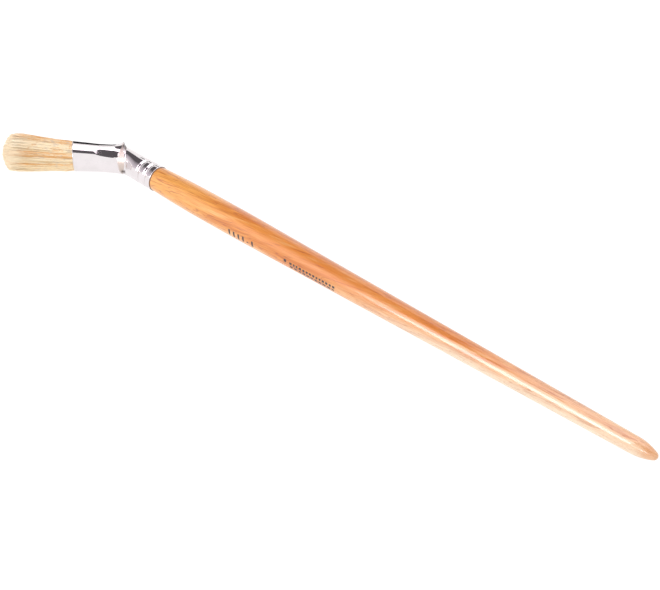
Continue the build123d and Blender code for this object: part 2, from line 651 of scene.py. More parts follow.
@dataclass(frozen=True)
class HogBristle:
    """Bleached natural bristle, from cream to ginger."""

    bleached: Colour = (0.93, 0.82, 0.63)
    cream: Colour = (0.93, 0.79, 0.56)
    straw: Colour = (0.85, 0.64, 0.37)
    ginger: Colour = (0.76, 0.43, 0.17)
    ash: Colour = (0.62, 0.50, 0.40)

    def build(self, layout: Layout) -> bpy.types.Material:
        """Builds the material.

        Args:
            layout: Where the brush lies.

        Returns:
            The material.
        """
        shader = Shader("hog_bristle")
        place = layout.grain_place(shader)
        tone = shader.attribute("tone")
        along = shader.attribute("along")
        patch = shader.noise(shader.stretched(place, (0.16, 0.16, 0.8)), 3.0, 0.6)
        blotch = shader.noise(shader.stretched(place, (0.42, 0.42, 1.5), (7.0, 1.0, 4.0)), 2.0, 0.6)

        hair = shader.ramp((tone * 0.62 + patch * 0.42).held(),
                           [(0.25, self.cream), (0.47, self.straw), (0.62, self.cream), (0.80, self.ginger)])
        hair = shader.mix(blotch.between(0.57, 0.70) * 0.7, hair, self.ginger)
        hair = shader.mix(blotch.between(0.44, 0.33) * 0.6 * along.between(0.92, 0.6), hair, self.ash)
        hair = shader.mix(along.between(0.80, 0.99) * 0.65, hair, self.bleached)
        return shader.finish(
            Base_Color=hair,
            Roughness=0.42 + 0.2 * patch,
            Specular_IOR_Level=0.45,
        )


@dataclass(frozen=True)
class Resin:
    """Brown set resin, with a skin and a few bubbles."""

    deep: Colour = (0.19, 0.085, 0.03)
    light: Colour = (0.34, 0.18, 0.07)

    def build(self, layout: Layout) -> bpy.types.Material:
        """Builds the material.

        Args:
            layout: Where the brush lies.

        Returns:
            The material.
        """
        shader = Shader("setting_resin")
        place = layout.grain_place(shader)
        cloud = shader.noise(shader.stretched(place, (0.4, 0.4, 0.4)), 4.0)
        bubble = shader.noise(shader.stretched(place, (2.2, 2.2, 2.2)), 1.0).between(0.66, 0.74)
        return shader.finish(
            Base_Color=shader.mix(cloud, self.deep, self.light),
            Roughness=(0.16 + 0.2 * cloud + 0.2 * bubble).held(),
            Normal=shader.bump(cloud * 0.4 + bubble * 0.6, 0.0001, 0.5),
        )


@dataclass(frozen=True)
class LinenThread:
    """Waxed off-white linen."""

    pale: Colour = (0.74, 0.66, 0.50)
    dark: Colour = (0.46, 0.37, 0.24)

    def build(self, layout: Layout) -> bpy.types.Material:
        """Builds the material.

        Args:
            layout: Where the brush lies.

        Returns:
            The material.
        """
        shader = Shader("linen_thread")
        place = layout.grain_place(shader)
        fuzz = shader.noise(shader.stretched(place, (5.0, 5.0, 5.0)), 4.0, 0.65)
        slub = shader.noise(shader.stretched(place, (0.7, 0.7, 0.7)), 2.0)
        ply = shader.attribute("ply")
        return shader.finish(
            Base_Color=shader.mix((fuzz * 0.5 + ply * 0.4 + slub * 0.2).held(), self.pale, self.dark),
            Roughness=0.62 + 0.25 * fuzz,
            Normal=shader.bump(fuzz, 0.00003, 0.6),
        )


@dataclass(frozen=True)
class Ink:
    """Matt dark ink, rubbed thin in places."""

    dense: Colour = (0.022, 0.02, 0.03)
    rubbed: Colour = (0.10, 0.06, 0.045)

    def build(self, layout: Layout) -> bpy.types.Material:
        """Builds the material.

        Args:
            layout: Where the brush lies.

        Returns:
            The material.
        """
        shader = Shader("dark_ink")
        place = layout.grain_place(shader)
        rub = shader.noise(shader.stretched(place, (1.1, 2.4, 2.4)), 4.0, 0.7)
        return shader.finish(
            Base_Color=shader.mix(rub.between(0.48, 0.68), self.dense, self.rubbed),
            Roughness=0.34 + 0.3 * rub,
            Normal=shader.bump(rub, 0.00001, 0.4),
        )


@dataclass(frozen=True)
class PaleFloor:
    """A plain white sweep, lit from within so that it stays white."""

    tone: Colour = (0.16, 0.16, 0.16)
    cloud_tone: Colour = (0.15, 0.15, 0.15)
    glow: float = 0.97

    def build(self) -> bpy.types.Material:
        """Builds the material.

        Returns:
            The material.
        """
        shader = Shader("pale_floor")
        place = shader.node("ShaderNodeTexCoord", None, None, "Object")
        cloud = shader.noise(shader.stretched(place, (3.0, 3.0, 3.0)), 2.0)
        return shader.finish(
            Base_Color=shader.mix(cloud * 0.1, self.tone, self.cloud_tone),
            Roughness=0.6 + 0.1 * cloud,
            Emission_Color=(1.0, 1.0, 1.0),
            Emission_Strength=self.glow,
            Specular_IOR_Level=0.0,
        )


@dataclass(frozen=True)
class Glow:
    """A plain light-giving or black panel."""

    name: str
    strength: float
    tint: Colour = (1.0, 0.93, 1.0)

    def build(self) -> bpy.types.Material:
        """Builds the material.

        Returns:
            The material.
        """
        shader = Shader(self.name)
        surface = shader.node("ShaderNodeEmission", None, {"Color": self.tint, "Strength": self.strength})
        shader.node_output(surface)
        return shader.material


@dataclass
class Handle:
    """The turned wooden handle: tenon, swelling neck, belly, long taper and bullet nose."""

    layout: Layout
    lip_x: float = LIP_X
    collar_x: float = 10.0
    tenon_x: float = 7.6
    belly_x: float = 51.6
    belly_end_x: float = 67.6
    easing: float = 0.4
    nose_x: float = 256.5
    tip_x: float = TIP_X
    belly_radius: float = 5.58
    neck_radius: float = 4.91
    tenon_radius: float = 4.71
    lead_drop: float = 0.7
    nose_radius: float = 3.30
    tip_radius: float = 1.60
    crimp_depth: float = 0.35
    crimp_half_width: float = 1.2
    crimps: Span = (13.4, 17.4)
    columns: int = 96
    strips: int = 5
    strip_pad: float = 0.015
    strip_foot: float = 0.01
    strip_height: float = 0.95

    def crimp_drop(self, x: np.ndarray) -> np.ndarray:
        """Finds how far the crimps draw a round in.

        Args:
            x: Stations along the handle.

        Returns:
            The drop at each.
        """
        drop = np.zeros_like(x)
        for centre in self.crimps:
            reach = np.clip((x - centre) / self.crimp_half_width, -1.0, 1.0)
            drop += self.crimp_depth * np.cos(reach * math.pi / 2) ** 2
        return drop

    def taper(self) -> tuple[float, float]:
        """Works out the straight taper.

        Returns:
            Its slope, and where it starts.
        """
        start = self.belly_end_x + self.easing
        slope = (self.belly_radius - self.nose_radius) / (self.nose_x - start + self.easing / 2)
        return slope, start

    def nose_arc(self) -> tuple[float, float, float]:
        """Works out the bullet nose's arc.

        Returns:
            Its centre along and across the axis, and its radius.
        """
        slope, _ = self.taper()
        angle = math.atan(slope)
        run = self.tip_x - self.nose_x - self.tip_radius
        room = self.nose_radius * math.cos(angle) - run * math.sin(angle) - self.tip_radius
        radius = (run**2 + self.nose_radius**2 - self.tip_radius**2) / (2 * room)
        return (self.nose_x - radius * math.sin(angle), self.nose_radius - radius * math.cos(angle), radius)

    def profile(self, x: np.ndarray) -> np.ndarray:
        """The handle's radius.

        Args:
            x: Stations along the axis.

        Returns:
            The radius at each.
        """
        swell = self.belly_radius - self.neck_radius
        run = self.belly_x - self.lip_x
        neck_arc = (run**2 + swell**2) / (2 * swell)
        slope, taper_x = self.taper()
        centre_x, centre_y, arc = self.nose_arc()
        tip_centre = self.tip_x - self.tip_radius
        join = centre_x + arc * (tip_centre - centre_x) / (arc - self.tip_radius)
        to_belly = np.clip(self.belly_x - x, 0.0, neck_arc)
        neck = self.belly_radius - (neck_arc - np.sqrt(neck_arc**2 - to_belly**2))
        tenon_run = self.lip_x - self.collar_x
        tenon = self.tenon_radius + (self.neck_radius - self.tenon_radius) * (x - self.collar_x) / tenon_run
        lead = self.tenon_radius - self.lead_drop * (self.collar_x - x) / (self.collar_x - self.tenon_x)
        cone = self.nose_radius + slope * (self.nose_x - x)
        ogive = centre_y + np.sqrt(np.maximum(arc**2 - (x - centre_x) ** 2, 0.0))
        ball = np.sqrt(np.maximum(self.tip_radius**2 - (x - tip_centre) ** 2, 0.0))
        ends = (self.collar_x, self.lip_x, self.belly_x, taper_x, self.nose_x, join)
        belly = np.full_like(x, self.belly_radius)
        shapes = [lead, tenon - self.crimp_drop(x), neck, belly, cone, ogive]
        return np.select([x < end for end in ends], shapes, ball)

    def stations(self) -> np.ndarray:
        """Spaces the rings, closer where the outline turns.

        Returns:
            Their stations along the axis.
        """
        bounds = [self.tenon_x, self.collar_x, self.lip_x, self.belly_end_x, self.nose_x]
        counts = [5, 44, 60, 150]
        runs = [np.linspace(*ends, count)[:-1] for *ends, count in zip(bounds, bounds[1:], counts)]
        quarter = np.linspace(0, math.pi / 2, 60)
        nose = self.tip_x - (self.tip_x - self.nose_x) * (1 - np.sin(quarter))
        return np.concatenate([*runs, nose])[:-1]

    def surface(self, x: np.ndarray, turn: np.ndarray, lift: float = 0.0) -> np.ndarray:
        """Places on the handle's surface.

        Args:
            x: Stations along the axis.
            turn: Angles about the axis, from the outside of the bend upwards.
            lift: How far above the wood they are.

        Returns:
            The places.
        """
        radius = self.profile(x) + lift
        return np.stack([x, radius * np.cos(turn), radius * np.sin(turn)], axis=-1)

    def bake_map(self, x: np.ndarray) -> np.ndarray:
        """Lays the turned surface out as strips side by side.

        Args:
            x: The rings' stations.

        Returns:
            The face corners' places on the map, in face order.
        """
        reach = (x - x[0]) / (x[-1] - x[0])
        strip = np.minimum((reach[:-1] * self.strips).astype(int), self.strips - 1)
        low = reach[:-1] * self.strips - strip
        high = reach[1:] * self.strips - strip
        around = np.arange(self.columns)
        pad, width = self.strip_pad, 1.0 / self.strips
        left = (strip[:, None] + pad + (1 - 2 * pad) * around / self.columns) * width
        right = (strip[:, None] + pad + (1 - 2 * pad) * (around + 1) / self.columns) * width
        bottom = np.repeat(self.strip_foot + self.strip_height * low[:, None], self.columns, 1)
        top = np.repeat(self.strip_foot + self.strip_height * high[:, None], self.columns, 1)
        corners = [(left, bottom), (right, bottom), (right, top), (left, top)]
        quads = np.stack([np.stack(corner, -1) for corner in corners], axis=2)
        return quads.reshape(-1, 2)

    @staticmethod
    def end_map(turn: np.ndarray) -> np.ndarray:
        """Puts the two end faces in the map's free corner.

        Args:
            turn: Each column's angle.

        Returns:
            The end faces' corners, in face order: the tenon's end and the tip in turn.
        """
        tip_shift = (0.05, 0.0)
        middle = np.array([0.98, 0.98])
        spots = []
        for angle in turn:
            spot = 0.98 + 0.01 * np.array([math.cos(angle), math.sin(angle)])
            spots += [spot, spot, middle, spot - tip_shift, spot - tip_shift, middle - tip_shift]
        return np.array(spots)

    def build(self, wood: bpy.types.Material) -> bpy.types.Object:
        """Builds the handle.

        Args:
            wood: Its material.

        Returns:
            The handle.
        """
        x = self.stations()
        turn = np.linspace(0, 2 * math.pi, self.columns, endpoint=False)
        rings = self.surface(np.repeat(x[:, None], self.columns, 1), np.repeat(turn[None, :], len(x), 0))
        ends = np.array([[x[0], 0.0, 0.0], [self.tip_x, 0.0, 0.0]])
        points = np.concatenate([rings.reshape(-1, 3), ends])
        faces = Skin.ring_faces(len(x), self.columns) + Skin.end_faces(len(x), self.columns)
        skin = Skin(points, faces, corner_uvs=np.concatenate([self.bake_map(x), self.end_map(turn)]))
        handle = skin.to_object("turned_handle", self.layout, wood, math.radians(40.0))
        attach(handle, "root")
        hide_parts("handle")
        return handle


@dataclass
class HandleMarks:
    """Plain ink strokes on the handle: a short tally, and a dot with two rows of dashes."""

    layout: Layout
    handle: Handle
    film: float = 0.012
    skirt: float = -0.01
    corner_pull: float = 0.16
    tally_start: float = 66.2
    tally_step: float = 2.45
    tally_count: int = 6
    tally_arc: Span = (180.0, 211.0)
    tally_lean: float = 1.5
    stroke: float = 1.05
    short_number: int = 4
    short_run: Span = (-0.55, 0.35)
    short_arc: Span = (194.0, 201.0)
    dot_x: float = 95.8
    dot_half: float = 0.75
    dot_arc: Span = (177.0, 192.0)
    dash_start: float = 98.0
    dash_end: float = 121.0
    dash_unevenness: Span = (0.8, 1.25)
    seed: int = 11

    def patch(self, x: Span, degrees: Span) -> Skin:
        """One stroke, a thin film wrapped on the wood.

        Args:
            x: Where it starts and ends along the handle.
            degrees: Where it starts and ends about the handle.

        Returns:
            The stroke's skin.
        """
        rows, columns = 7, 9
        along = np.linspace(-1.0, 1.0, rows)
        across = np.linspace(-1.0, 1.0, columns)
        grid_u, grid_v = np.meshgrid(along, across, indexing="ij")
        # The corners are rounded, as a soft nib or a stamp leaves them.
        pull = 1 - self.corner_pull * (grid_u**2) * (grid_v**2)
        mid_x, half_x = (x[0] + x[1]) / 2, (x[1] - x[0]) / 2
        mid_t, half_t = math.radians(sum(degrees) / 2), math.radians(degrees[1] - degrees[0]) / 2
        spread_x, spread_t = mid_x + half_x * grid_u * pull, mid_t + half_t * grid_v * pull
        edge = np.maximum(np.abs(grid_u), np.abs(grid_v)) > 0.999
        places = self.handle.surface(spread_x, spread_t, self.film)
        places[edge] = self.handle.surface(spread_x, spread_t, self.skirt)[edge]
        faces = []
        for row in range(rows - 1):
            for column in range(columns - 1):
                corner = row * columns + column
                faces.append((corner, corner + columns, corner + columns + 1, corner + 1)[::-1])
        return Skin(places.reshape(-1, 3), faces)

    def strokes(self) -> list[Skin]:
        """Draws all the strokes: the tally, the dot and the two rows of dashes.

        Returns:
            The strokes' skins.
        """
        draw = np.random.default_rng(self.seed)
        made = []
        for number in range(self.tally_count):
            x = self.tally_start + number * self.tally_step
            if number == self.short_number:
                made.append(self.patch((x + self.short_run[0], x + self.short_run[1]), self.short_arc))
                continue
            lean = draw.uniform(-self.tally_lean, self.tally_lean)
            arc = (self.tally_arc[0] + lean, self.tally_arc[1] + lean)
            made.append(self.patch((x - self.stroke / 2, x + self.stroke / 2), arc))
        made.append(self.patch((self.dot_x - self.dot_half, self.dot_x + self.dot_half), self.dot_arc))
        # Two rows: where each lies about the handle, its dashes' length, and the gap after each.
        for arc, dash, gap in (((180.0, 193.0), 1.15, 0.5), ((198.0, 209.0), 1.7, 0.35)):
            x = self.dash_start
            while x < self.dash_end:
                length = dash * draw.uniform(*self.dash_unevenness)
                made.append(self.patch((x, x + length), arc))
                x += length + gap
        return made

    def build(self, ink: bpy.types.Material) -> bpy.types.Object:
        """Builds the marks as one piece.

        Args:
            ink: Their material.

        Returns:
            The marks.
        """
        points, faces, count = [], [], 0
        for skin in self.strokes():
            points.append(skin.points)
            faces += Skin.shifted(skin.faces, count)
            count += len(skin.points)
        marks = Skin(np.concatenate(points), faces).to_object("handle_marks", self.layout, ink)
        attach(marks, "root")
        return marks


@dataclass
class Ferrule:
    """The plated tube: a skewed mouth, a pinched crease at the elbow, and two rolled crimps."""

    layout: Layout
    handle: Handle
    wall: float = 0.30
    mouth_reach: float = MOUTH_REACH
    mouth_radius: float = 6.0
    mouth_skew: float = math.radians(8.0)
    waist_reach: float = 10.0
    waist_radius: float = 5.62
    crease_angle: float = math.radians(136.5)
    crease_radius: float = 5.62
    ridge_outer: float = 0.62
    ridge_side: float = 0.42
    peak_turn: float = math.radians(66.0)
    peak_width: float = math.radians(34.0)
    peak_rise: float = 0.95
    bow: float = 0.85
    bow_turn: float = math.radians(175.0)
    bow_width: float = math.radians(48.0)
    valley_depth: float = 0.36
    valley_reach: float = 3.2
    valley_half: float = 1.9
    valley_turn: float = math.radians(158.0)
    valley_width: float = math.radians(42.0)
    flat_depth: float = 0.21
    flat_half: float = 0.89
    flat_end: float = 11.6
    flat_run: float = 4.2
    flat_start: float = 1.6
    flat_fade: float = 2.6
    crest_round: float = 0.12
    head_flare: float = 1.7
    shank_flare: float = 0.45
    shank_away: float = 5.0
    collar_radius: float = 5.05
    lip_radius: float = 5.25
    fold_turn: float = math.radians(209.0)
    fold_width: float = math.radians(13.0)
    fold_shade_width: float = math.radians(10.0)
    fold_depth: float = 0.5
    columns: int = 152

    def turns(self) -> np.ndarray:
        """Angles about either tube, from the outside of the bend upwards."""
        return np.linspace(0, 2 * math.pi, self.columns, endpoint=False)

    def ridge_height(self, turn: np.ndarray) -> np.ndarray:
        """Finds how far the crease stands up.

        Args:
            turn: Angles round the elbow.

        Returns:
            The height at each.
        """
        even = self.ridge_side + (self.ridge_outer - self.ridge_side) * np.cos(turn / 2) ** 4
        off_peak = (turn - self.peak_turn) / self.peak_width
        off_fold = (turn - self.fold_turn) / self.fold_width
        return even + self.peak_rise * np.exp(-(off_peak**2)) - self.fold_depth * np.exp(-(off_fold**2))

    def crease_direction(self, turn: np.ndarray) -> np.ndarray:
        """Finds outward directions in the crease's plane.

        Args:
            turn: Angles round the elbow.

        Returns:
            The direction at each.
        """
        out = np.array([math.cos(self.crease_angle), math.sin(self.crease_angle), 0.0])
        up = np.array([0.0, 0.0, 1.0])
        return np.cos(turn)[:, None] * out + np.sin(turn)[:, None] * up

    def crease_line(self, turn: np.ndarray) -> np.ndarray:
        """Draws the crease's foot, bowed towards the shank in front.

        Args:
            turn: Angles round the elbow.

        Returns:
            The place at each.
        """
        towards_shank = (np.array([1.0, 0.0, 0.0]) - self.layout.head_axes[0]) / 2
        bowed = self.bow * np.exp(-(((turn - self.bow_turn) / self.bow_width) ** 2))
        return self.crease_radius * self.crease_direction(turn) + bowed[:, None] * towards_shank

    def pressed(self, turn: np.ndarray, away: float) -> np.ndarray:
        """How far the head is pressed in beside its crease.

        Args:
            turn: Angles about the head.
            away: The distance from the crease.

        Returns:
            The depth at each angle: a flat on the upper front, and a valley under the crease.
        """
        # The flat turns a little as it runs up the head, given here at three distances.
        lean = math.radians(np.interp(away, [2.0, 5.0, 10.5], [131.0, 133.0, 127.0]))
        start = np.clip((self.flat_end - away) / self.flat_run, 0.0, 1.0) ** 0.8
        fade = np.clip((away - self.flat_start) / self.flat_fade, 0.0, 1.0)
        chord = self.flat_depth * start * (2 - start) * fade
        off = np.clip(turn - lean, -0.9, 0.9)
        sunk = np.maximum(self.waist_radius - (self.waist_radius - chord) / np.cos(off), 0.0)
        flat = sunk * (np.abs(off) < self.flat_half)
        front = np.exp(-(((turn - self.valley_turn) / self.valley_width) ** 2))
        valley = self.valley_depth * front * math.exp(-(((away - self.valley_reach) / self.valley_half) ** 2))
        return flat + valley

    def crest(self, turn: np.ndarray, away: Any, flare: float) -> np.ndarray:
        """How far the crease lifts the tube beside it.

        Args:
            turn: Angles about the tube.
            away: The distance from the crease.
            flare: How far the lift reaches.

        Returns:
            The lift at each angle.
        """
        rounded = np.hypot(away, self.crest_round) - self.crest_round
        return np.exp(-rounded / flare) * self.ridge_height(turn)

    def head_rings(self) -> tuple[np.ndarray, np.ndarray]:
        """The head's rings, from the mouth to the crease.

        Returns:
            The rings, and each one's distance from the crease.
        """
        turn = self.turns()
        frame = self.layout.head_axes
        radial = np.cos(turn)[:, None] * frame[1] + np.sin(turn)[:, None] * frame[2]
        crease = self.crease_line(turn)
        waist = frame[0] * self.waist_reach + self.waist_radius * radial
        rings, distances = [], []
        for reach in np.linspace(self.mouth_reach, self.waist_reach, 60)[:-1]:
            share = (reach - self.waist_reach) / (self.mouth_reach - self.waist_reach)
            radius = self.waist_radius + (self.mouth_radius - self.waist_radius) * share
            lean = np.sin(turn) * radius * math.tan(self.mouth_skew) * share**1.5
            dent = self.pressed(turn, reach)
            rings.append(frame[0] * (reach + lean[:, None]) + (radius - dent)[:, None] * radial)
            distances.append(np.full(self.columns, reach))
        # The rings stand closer towards the crease.
        closing = 0.72 + 0.28 * np.sin(np.linspace(0, 1, 46) * math.pi / 2)
        for share in 1 - np.concatenate([np.linspace(0, 0.72, 50)[:-1], closing]):
            base = crease + (waist - crease) * share
            away = self.waist_reach * share
            lift = self.crest(turn, away, self.head_flare)
            dent = self.pressed(turn, away)
            rings.append(base + self.crease_direction(turn) * lift[:, None] - radial * dent[:, None])
            distances.append(np.full(self.columns, away))
        return np.array(rings), np.array(distances)

    def shank_rings(self) -> tuple[np.ndarray, np.ndarray]:
        """The shank's rings, from past the crease to the lip.

        Returns:
            The rings, and each one's distance from the crease.
        """
        turn = self.turns()
        axis = np.array([1.0, 0.0, 0.0])
        radial = np.stack([np.zeros_like(turn), np.cos(turn), np.sin(turn)], -1)
        crease = self.crease_line(turn)
        collar_x = self.handle.collar_x
        collar = axis * collar_x + self.collar_radius * radial
        rings, distances = [], []
        opening = 0.3 * (1 - np.cos(np.linspace(0, 1, 46) * math.pi / 2))[1:]
        for share in np.concatenate([opening, np.linspace(0.3, 1.0, 28)[1:-1]]):
            base = crease + (collar - crease) * share
            away = share * np.linalg.norm(collar - crease, axis=1)
            lift = self.crest(turn, away, self.shank_flare)
            rings.append(base + self.crease_direction(turn) * lift[:, None])
            distances.append(away)
        lip_x, widening = self.handle.lip_x, self.lip_radius - self.collar_radius
        for x in np.linspace(collar_x, lip_x - self.wall / 2, 90):
            radius = self.collar_radius + widening * (x - collar_x) / (lip_x - collar_x)
            radius -= float(self.handle.crimp_drop(np.array([x]))[0])
            rings.append(axis * x + radius * radial)
            distances.append(np.full(self.columns, self.shank_away + x))
        return np.array(rings), np.array(distances)

    @staticmethod
    def normals(rings: np.ndarray) -> np.ndarray:
        """Finds the outward normals of a tube.

        Args:
            rings: Its rings of points.

        Returns:
            The normal at each point.
        """
        along = np.gradient(rings, axis=0)
        around = np.roll(rings, -1, axis=1) - np.roll(rings, 1, axis=1)
        out = np.cross(around, along)
        return out / np.linalg.norm(out, axis=2, keepdims=True)

    def rim(self, start: np.ndarray, across: np.ndarray, forward: np.ndarray) -> np.ndarray:
        """Turns a half round from one skin of the tube to the other.

        Args:
            start: The ring that it starts from.
            across: Directions from there to the other skin.
            forward: The way it bulges.

        Returns:
            The rings between the two skins.
        """
        half = self.wall / 2
        rings = []
        for angle in np.linspace(0, math.pi, 6)[1:-1]:
            rings.append(start + across * half * (1 - math.cos(angle)) + forward * half * math.sin(angle))
        return np.array(rings)

    def wear_and_painted_light(self, distance: np.ndarray, head_rows: int) -> dict[str, np.ndarray]:
        """Says where the plate carries a painted reflection, where it is dulled, and where painted shade and
        dirt darken it.

        Args:
            distance: Each point's distance from the crease, by ring.
            head_rows: How many of the rings are the head's outside.

        Returns:
            The numbers that the points carry.
        """
        turn = self.turns()
        degrees = np.degrees(turn)
        head_side = np.zeros(len(distance))
        head_side[:head_rows] = 1.0
        # The band of painted reflection starts at the peak, is widest in front, and closes again below.
        width = np.interp(degrees, [70.0, 95.0, 130.0, 165.0, 205.0, 230.0], [0.5, 1.1, 2.5, 3.0, 2.0, 0.4])
        off_crest = np.clip((distance - self.crest_round) / 0.2, 0, 1)
        crease = off_crest * np.clip((width[None, :] - distance) / 0.45, 0, 1) * head_side[:, None]
        mouth_edge = np.clip(1 - np.abs(distance - self.mouth_reach) / 0.6, 0, 1)
        crimp_edge = np.zeros_like(distance)
        for centre in self.handle.crimps:
            crimp_edge += np.exp(-(((distance - self.shank_away - centre) / 0.5) ** 2))
        # Painted shade fills the small dent at the fold.
        near_fold = np.exp(-((turn - self.fold_turn) / self.fold_shade_width) ** 2)
        fold = np.exp(-((distance - 0.3) / 0.8) ** 2) * near_fold[None, :]
        # Painted shade and dirt darken a strip beside the crease, on the shank's side of the peak.
        below_peak = np.interp(degrees, [48.0, 62.0, 100.0, 122.0], [0.0, 1.0, 1.0, 0.0])
        shade_and_grime = np.exp(-((distance - 0.5) / 1.0) ** 4) * below_peak[None, :]
        shade_and_grime[:head_rows] = 0.0
        return {
            "crease": crease.ravel(),
            "edge": np.clip(mouth_edge + crimp_edge * 0.25, 0, 1).ravel(),
            "fold": np.clip(np.maximum(fold, shade_and_grime) * 1.2, 0, 1).ravel(),
        }

    def build(self, plate: bpy.types.Material) -> bpy.types.Object:
        """Builds the ferrule: an outer skin, rounded rims and an inner skin.

        Args:
            plate: Its material.

        Returns:
            The ferrule.
        """
        head, head_away = self.head_rings()
        shank, shank_away = self.shank_rings()
        outer = np.concatenate([head, shank])
        away = np.concatenate([head_away, shank_away])
        out = self.normals(outer)
        inner = outer - out * self.wall
        lip_rim = self.rim(outer[-1], -out[-1], np.array([1.0, 0.0, 0.0]))
        mouth_rim = self.rim(inner[0], out[0], self.layout.head_axes[0])
        loop = np.concatenate([outer, lip_rim, inner[::-1], mouth_rim])
        at_lip, at_mouth = np.tile(away[-1], (len(lip_rim), 1)), np.tile(away[0], (len(mouth_rim), 1))
        distance = np.concatenate([away, at_lip, away[::-1], at_mouth])
        faces = Skin.ring_faces(len(loop), self.columns, closed=True)
        skin = Skin(loop.reshape(-1, 3), faces, self.wear_and_painted_light(distance, len(head)))
        ferrule = skin.to_object("bent_ferrule", self.layout, plate, math.radians(60.0))
        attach(ferrule, "root")
        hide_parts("ferrule")
        return ferrule


@dataclass
class BristleKnot:
    """The knot of hog bristles: a core and eight locks, strand by strand."""

    layout: Layout
    mouth_reach: float = MOUTH_REACH
    root_depth: float = 13.6
    length: float = 28.3
    mouth_radius: float = 5.62
    inner_reach: float = 14.0
    bulge: float = 0.34
    bulge_reach: float = 2.0
    bulge_half: float = 1.9
    widest_reach: float = 20.0
    widest_radius: float = 7.60
    rim_reach: float = 24.7
    rim_radius: float = 7.35
    draw_in: float = DRAW_IN
    core_share: float = 0.42
    edge_share: float = 0.985
    crowding: float = 0.55
    lock_count: int = 8
    core_strands: int = 460
    lock_strands: int = 330
    strand_radius: float = 0.150
    strand_spread: Span = (0.75, 1.2)
    tip_share: float = 0.50
    tip_point: float = 0.16
    sides: int = 5
    rings: int = 11
    clumps: int = 84
    clump_pull: float = 0.34
    uneven_ends: float = 0.45
    broken_share: float = 0.12
    broken_by: Span = (0.3, 2.2)
    proud_share: float = 0.03
    proud_by: Span = (0.2, 0.7)
    stray: float = 0.26
    wave: float = 0.05
    wave_rate: float = 0.55
    tone_spread: float = 0.17
    seed: int = 29

    def outline(self, reach: np.ndarray) -> np.ndarray:
        """Finds the knot's radius.

        Args:
            reach: Distances out of the mouth.

        Returns:
            The radius at each.
        """
        stations = [-self.inner_reach, 0.0, self.widest_reach, self.rim_reach, self.length]
        inner_radius = self.mouth_radius - self.inner_reach * self.draw_in
        radii = [inner_radius, self.mouth_radius, self.widest_radius, self.rim_radius, self.rim_radius]
        off_bulge = (reach - self.bulge_reach) / self.bulge_half
        swell = self.bulge * np.exp(-(off_bulge**2)) * (reach > -0.5)
        return np.interp(reach, stations, radii) + swell

    def dome(self, share: np.ndarray) -> np.ndarray:
        """Finds how far out of the mouth the domed tip is.

        Args:
            share: Shares of the dome's radius.

        Returns:
            The distance at each.
        """
        drop = self.length - self.rim_reach
        radius = (self.rim_radius**2 + drop**2) / (2 * drop)
        return self.length - radius + np.sqrt(radius**2 - (self.rim_radius * np.minimum(share, 1.0)) ** 2)

    def strands(self, share: np.ndarray, turn: np.ndarray, draw: np.random.Generator,
                centres: np.ndarray) -> tuple[np.ndarray, np.ndarray]:
        """The strands' centre lines in the head's axes.

        Args:
            share: Each strand's share of the knot's radius.
            turn: Its angle about the knot.
            draw: The random draw.
            centres: The clumps' middles, across the knot.

        Returns:
            The lines, by strand and ring, and the nearest clump of each.
        """
        count = len(share)
        flat = np.stack([share * np.cos(turn), share * np.sin(turn)], -1)
        nearest = np.argmin(((flat[:, None] - centres[None]) ** 2).sum(-1), axis=1)
        to_clump = centres[nearest] - flat
        uneven = np.abs(draw.normal(0.0, self.uneven_ends, count))
        broken = np.where(draw.random(count) < self.broken_share, draw.uniform(*self.broken_by, count), 0.0)
        proud = np.where(draw.random(count) < self.proud_share, draw.uniform(*self.proud_by, count), 0.0)
        end = self.dome(share) - (uneven + broken) + proud
        steps = np.linspace(0.0, 1.0, self.rings) ** 0.9
        reach = -self.root_depth + (end[:, None] + self.root_depth) * steps
        free = np.clip(reach / self.length, 0.0, 1.0)
        pull = self.clump_pull * free**1.6
        across = flat[:, None] + to_clump[:, None] * pull[..., None]
        across = across * self.outline(reach)[..., None]
        bend = draw.normal(0.0, self.stray, (count, 1, 2)) * (free**2)[..., None]
        phase = draw.uniform(0, 2 * math.pi, (count, 1))
        wave = self.wave * np.sin(reach * self.wave_rate + phase) * np.clip(reach / 4.0, 0, 1)
        across = across + bend + wave[..., None]
        lines = np.concatenate([reach[..., None] + self.mouth_reach, across], -1)
        return lines, nearest

    def weave(self, name: str, share: np.ndarray, turn: np.ndarray, draw: np.random.Generator,
              centres: np.ndarray, clump_tones: np.ndarray, hair: bpy.types.Material) -> bpy.types.Object:
        """Builds one bundle of strands.

        Args:
            name: The piece's name.
            share: Each strand's share of the knot's radius.
            turn: Its angle about the knot.
            draw: The random draw.
            centres: The clumps' middles.
            clump_tones: Each clump's tone.
            hair: The bristles' material.

        Returns:
            The bundle.
        """
        lines, nearest = self.strands(share, turn, draw, centres)
        count, rings, sides = len(share), self.rings, self.sides
        steps = np.linspace(0, 1, rings)
        thick = self.strand_radius * draw.uniform(*self.strand_spread, (count, 1))
        thick = thick * (1 - (1 - self.tip_share) * steps**2)
        corner = np.linspace(0, 2 * math.pi, sides, endpoint=False)
        corner = corner[None, :] + draw.uniform(0, 2 * math.pi, (count, 1))
        offset = np.stack([np.zeros_like(corner), np.cos(corner), np.sin(corner)], -1)
        tubes = lines[:, :, None] + thick[:, :, None, None] * offset[:, None]
        tips = lines[:, -1] + np.array([self.tip_point, 0.0, 0.0])
        points = np.concatenate([tubes.reshape(count, -1, 3), tips[:, None]], axis=1)

        last = (rings - 1) * sides
        tip = [(last + k, last + (k + 1) % sides, rings * sides) for k in range(sides)]
        strand = Skin.ring_faces(rings, sides) + tip
        stride = rings * sides + 1
        faces: list[Face] = []
        for number in range(count):
            faces += Skin.shifted(strand, number * stride)

